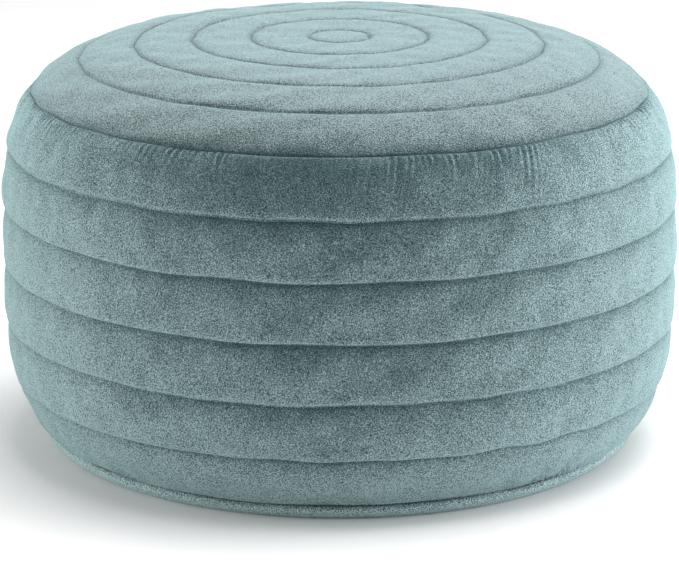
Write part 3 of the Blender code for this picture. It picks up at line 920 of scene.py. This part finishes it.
# %% The bag's base and the fill
LINER_INSET, LINER_THICKNESS = 16 * MM, 0.6 * MM
LINER_FLAT, LINER_OVER_ZIP = 2.5 * MM, 13.1 * MM
FILL_FLAT, FILL_OVER_ZIP = 3.6 * MM, 14.2 * MM
FILL_DEPTH, FILL_CORNER = 17.0 * MM, 1 * MM


def floor_rows(radius, flat, over_zip, count=60):
    """Rings of a disc from the rim to the middle. Height = flat + (over zip - flat) times the recess."""
    turn = np.linspace(0, 2 * np.pi, LAYER_COLUMNS, endpoint=False)
    far = np.linspace(1, 0.01, count)[:, None] * radius
    x, y = far * np.cos(turn), far * np.sin(turn)
    return np.stack([x, y, flat + (over_zip - flat) * recess(x, y)], -1)


under = floor_rows(FLOOR_RADIUS - LINER_INSET, LINER_FLAT, LINER_OVER_ZIP)
bag_base = np.concatenate([(under + [0, 0, LINER_THICKNESS])[::-1], under])
place(turned_mesh("inner_liner_base", bag_base, True), "liner", LINER, "liner_base")

sides = inset(np.linspace(1 * MM, BASE_SEAM, 120), FILL_DEPTH)
bottom = floor_rows(np.hypot(*sides[-1, 0, :2]) - FILL_CORNER, FILL_FLAT, FILL_OVER_ZIP)
sides = sides[sides[:, 0, 2] > FILL_FLAT + FILL_CORNER]
fill = place(turned_mesh("inner_fill", np.concatenate([sides, bottom]), True), "fill", FILL, "fill")

# %% [markdown]
# ## Stitches
#
# Quilting thread lies at the bottom of each crease, and comes up for about three millimetres at a time. One
# long tube would read as a wire, so every stitch is its own small bead with tapered ends that dip into the
# cloth. Four thousand of them are cheap at 26 faces each.


# %% Thread
PLY_SCALE = 700.0


def thread_material():
    """Polyester thread: two plies wound round each other, so slanting bands in colour and relief."""
    made, tree, shader = material("thread", Roughness=0.5, Sheen_Weight=0.3, Specular_IOR_Level=0.4)
    where = tree.make("TexCoord", output=3)
    wave = {"Vector": where, "Scale": PLY_SCALE, "Distortion": 1.0}
    plies = tree.make("TexWave", wave, output=1, bands_direction="DIAGONAL")
    tree.feed(shader.inputs["Base Color"], plies.blend((0.05, 0.09, 0.10, 1), (0.12, 0.19, 0.20, 1)))
    tree.feed(shader.inputs["Normal"], tree.make("Bump", {"Height": plies, "Distance": 0.1 * MM}))
    return made


THREAD = thread_material()

# %% Sew every line
STITCH_PITCH, STITCH_LENGTH = 4.2 * MM, 3.2 * MM
THREAD_RADIUS, THREAD_PROUD, STITCH_DIP = 0.45 * MM, 0.1 * MM, 0.7 * MM
TAPER = 0.97
BEAD_RINGS, BEAD_SIDES = 5, 6


def stitches(name, line, node):
    """A ring of stitches in a crease: radius falls off as the root of 1 - t^4, and each end dips by t^2."""
    depth = deep(line) - THREAD_PROUD
    radius = at(np.array([line]))[0][0, 0] - depth
    count = int(2 * np.pi * radius / STITCH_PITCH)
    t = np.linspace(-TAPER, TAPER, BEAD_RINGS)[None, :, None]
    around = np.linspace(0, 2 * np.pi, BEAD_SIDES, endpoint=False)[None, None, :]
    middle = np.linspace(0, 2 * np.pi, count, endpoint=False)[:, None, None]
    turn = middle + t * STITCH_LENGTH / 2 / radius + 0 * around
    point, normal, down, _ = round_frame(line + wander(line, turn), turn)
    thick = THREAD_RADIUS * np.sqrt(1 - t**4)
    out = thick * np.cos(around) - depth - STITCH_DIP * t**2
    beads = point + normal * out[..., None] + down * (thick * np.sin(around))[..., None]
    corners = BEAD_RINGS * BEAD_SIDES
    start = np.arange(count)[:, None, None] * corners
    walls = (grid_faces(BEAD_RINGS, BEAD_SIDES, False, True)[None] + start).reshape(-1, 4)
    near = np.arange(BEAD_SIDES)
    ends = np.concatenate([near + start[:, 0], corners - 1 - near + start[:, 0]])
    piece = mesh_of(name, beads.reshape(-1, 3), walls[:, ::-1], ends)
    return place(piece, "thread", THREAD, node)


for k, line in enumerate(RINGS, 1):
    stitches(f"stitches_ring_{k}", line, f"ring_thread_{k}")
for k, line in enumerate(SIDE_LINES, 1):
    stitches(f"stitches_side_{k}", line, f"side_thread_{k}")
stitches("stitches_top_seam", TOP_SEAM, "top_seam_thread")
stitches("stitches_base_seam", BASE_SEAM, "base_seam_thread")

# %% [markdown]
# ## The zip
#
# A coil zip's teeth are one nylon wire wound in a flat spiral along each tape. A spiral is easy as a tube:
# its middle goes round an ellipse while it moves along, and each ring of the tube faces away from the
# ellipse's middle. The tapes are woven, and the slider, its pull and the two stops are plated metal.


# %% Zip materials
def nylon_material():
    """Dyed nylon wire: smooth, with faint bands of colour along it."""
    made, tree, shader = material("zip_coil", Roughness=0.35, Coat_Weight=0.2)
    lumps = noise(tree, tree.make("TexCoord", output=3), 4 * MM, 3.0)
    tree.feed(shader.inputs["Base Color"], lumps.blend((0.10, 0.17, 0.18, 1), (0.16, 0.25, 0.26, 1)))
    return made


def metal_material():
    """Worn nickel plate: smudges change its colour, and smudges and fine scratches how rough it is."""
    made, tree, shader = material("zip_metal", Metallic=1.0)
    where = tree.make("TexCoord", output=3)
    smudges = noise(tree, where, 2.5 * MM, 5.0, 0.65)
    scratches = noise(tree, tree.make("Mapping", {"Vector": where, "Scale": (1, 14, 14)}), 1 * MM, 2.0)
    tree.feed(shader.inputs["Base Color"], smudges.blend((0.50, 0.49, 0.46, 1), (0.72, 0.71, 0.68, 1)))
    tree.feed(shader.inputs["Roughness"], smudges * 0.25 + scratches * 0.2 + 0.08)
    tree.feed(shader.inputs["Normal"], tree.make("Bump", {"Height": scratches, "Distance": 0.03 * MM}))
    return made


TAPE = plain_cloth("zip_tape", (0.10, 0.17, 0.18), 0.6 * MM, 0.75)
NYLON, METAL = nylon_material(), metal_material()
for node in ("zip_top_stop", "zip_bottom_stop", "zip_slider", "zip_pull"):
    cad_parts[node].data.materials.clear()
    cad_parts[node].data.materials.append(METAL)

# %% The coils
WIRE = 0.28 * MM
TOOTH_PITCH = 1.35 * MM
RINGS_A_TOOTH, WIRE_SIDES = 10, 5


def ring_walls(rings, sides):
    """The quads of a tube and its two end faces."""
    last = (rings - 1) * sides
    return grid_faces(rings, sides, False, True), np.arange(sides)[None, ::-1], np.arange(sides)[None] + last


def coil(name, node):
    """A tube whose middle goes round an ellipse once for each tooth while it moves along the zip.

    Across = (half width + wire cos a) cos w and up = (half height + wire cos a) sin w, where w is how far
    the wire has wound and a the angle round the wire; wire sin a goes along the zip."""
    low, high = (np.array(corner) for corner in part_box(node))
    middle, half = (low + high) / 2, (high - low) / 2 - WIRE
    teeth = int((high[0] - low[0]) / TOOTH_PITCH)
    wound = np.linspace(0, 2 * np.pi * teeth, teeth * RINGS_A_TOOTH)[:, None]
    around = np.linspace(0, 2 * np.pi, WIRE_SIDES, endpoint=False)
    x = middle[0] + half[0] * np.linspace(-1, 1, len(wound))[:, None] + WIRE * np.sin(around)
    y = middle[1] + (half[1] + WIRE * np.cos(around)) * np.cos(wound)
    z = middle[2] + (half[2] + WIRE * np.cos(around)) * np.sin(wound)
    points = np.stack([x, y, z], -1)
    piece = mesh_of(name, points.reshape(-1, 3), *ring_walls(*points.shape[:2]))
    return place(piece, "zip_coil", NYLON, node)


for part in ("front", "rear"):
    coil(f"coil_{part}", f"zip_coil_{part}")

# %% The tapes
TAPE_RINGS, TAPE_SIDES = 160, 28
SQUARENESS = 0.25
WAVINESS, WAVE_RATE = 0.012, 61


def tape(name, node):
    """A flat strip with rounded edges, carried along the zip with a slight wave in its width.

    Across = sign(cos a) |cos a|^squareness and over = sign(sin a) |sin a|^squareness."""
    low, high = (np.array(corner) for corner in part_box(node))
    middle, half = (low + high) / 2, (high - low) / 2
    along = np.linspace(-1, 1, TAPE_RINGS)[:, None]
    around = np.linspace(0, 2 * np.pi, TAPE_SIDES, endpoint=False)
    across = np.sign(np.cos(around)) * np.abs(np.cos(around)) ** SQUARENESS
    over = np.sign(np.sin(around)) * np.abs(np.sin(around)) ** SQUARENESS
    wave = 1 - WAVINESS * (1 + np.sin(WAVE_RATE * along))
    x = middle[0] + half[0] * along + 0 * across
    y = middle[1] + half[1] * across * wave
    points = np.stack([x, y, middle[2] + half[2] * over + 0 * along], -1)
    piece = mesh_of(name, points.reshape(-1, 3), *ring_walls(*points.shape[:2]))
    return place(piece, "zip_tape", TAPE, node)


for part in ("front", "rear"):
    tape(f"tape_{part}", f"zip_tape_{part}")

# %% [markdown]
# ## The floor
#
# The floor is plain and pale.

# %% Lay the floor
FLOOR_REACH = 9.0
corners = FLOOR_REACH * np.array([(-1, -1, 0), (1, -1, 0), (1, 1, 0), (-1, 1, 0)])
floor = mesh_of("floor", corners, np.array([[0, 1, 2, 3]]))
paper, tree, shader = material("paper", Roughness=0.9)
speckle = noise(tree, tree.make("TexCoord", output=3), 3 * MM, 2.0)
tree.feed(shader.inputs["Base Color"], speckle.blend((0.92, 0.92, 0.92, 1), (0.94, 0.94, 0.94, 1)))
floor.data.materials.append(paper)
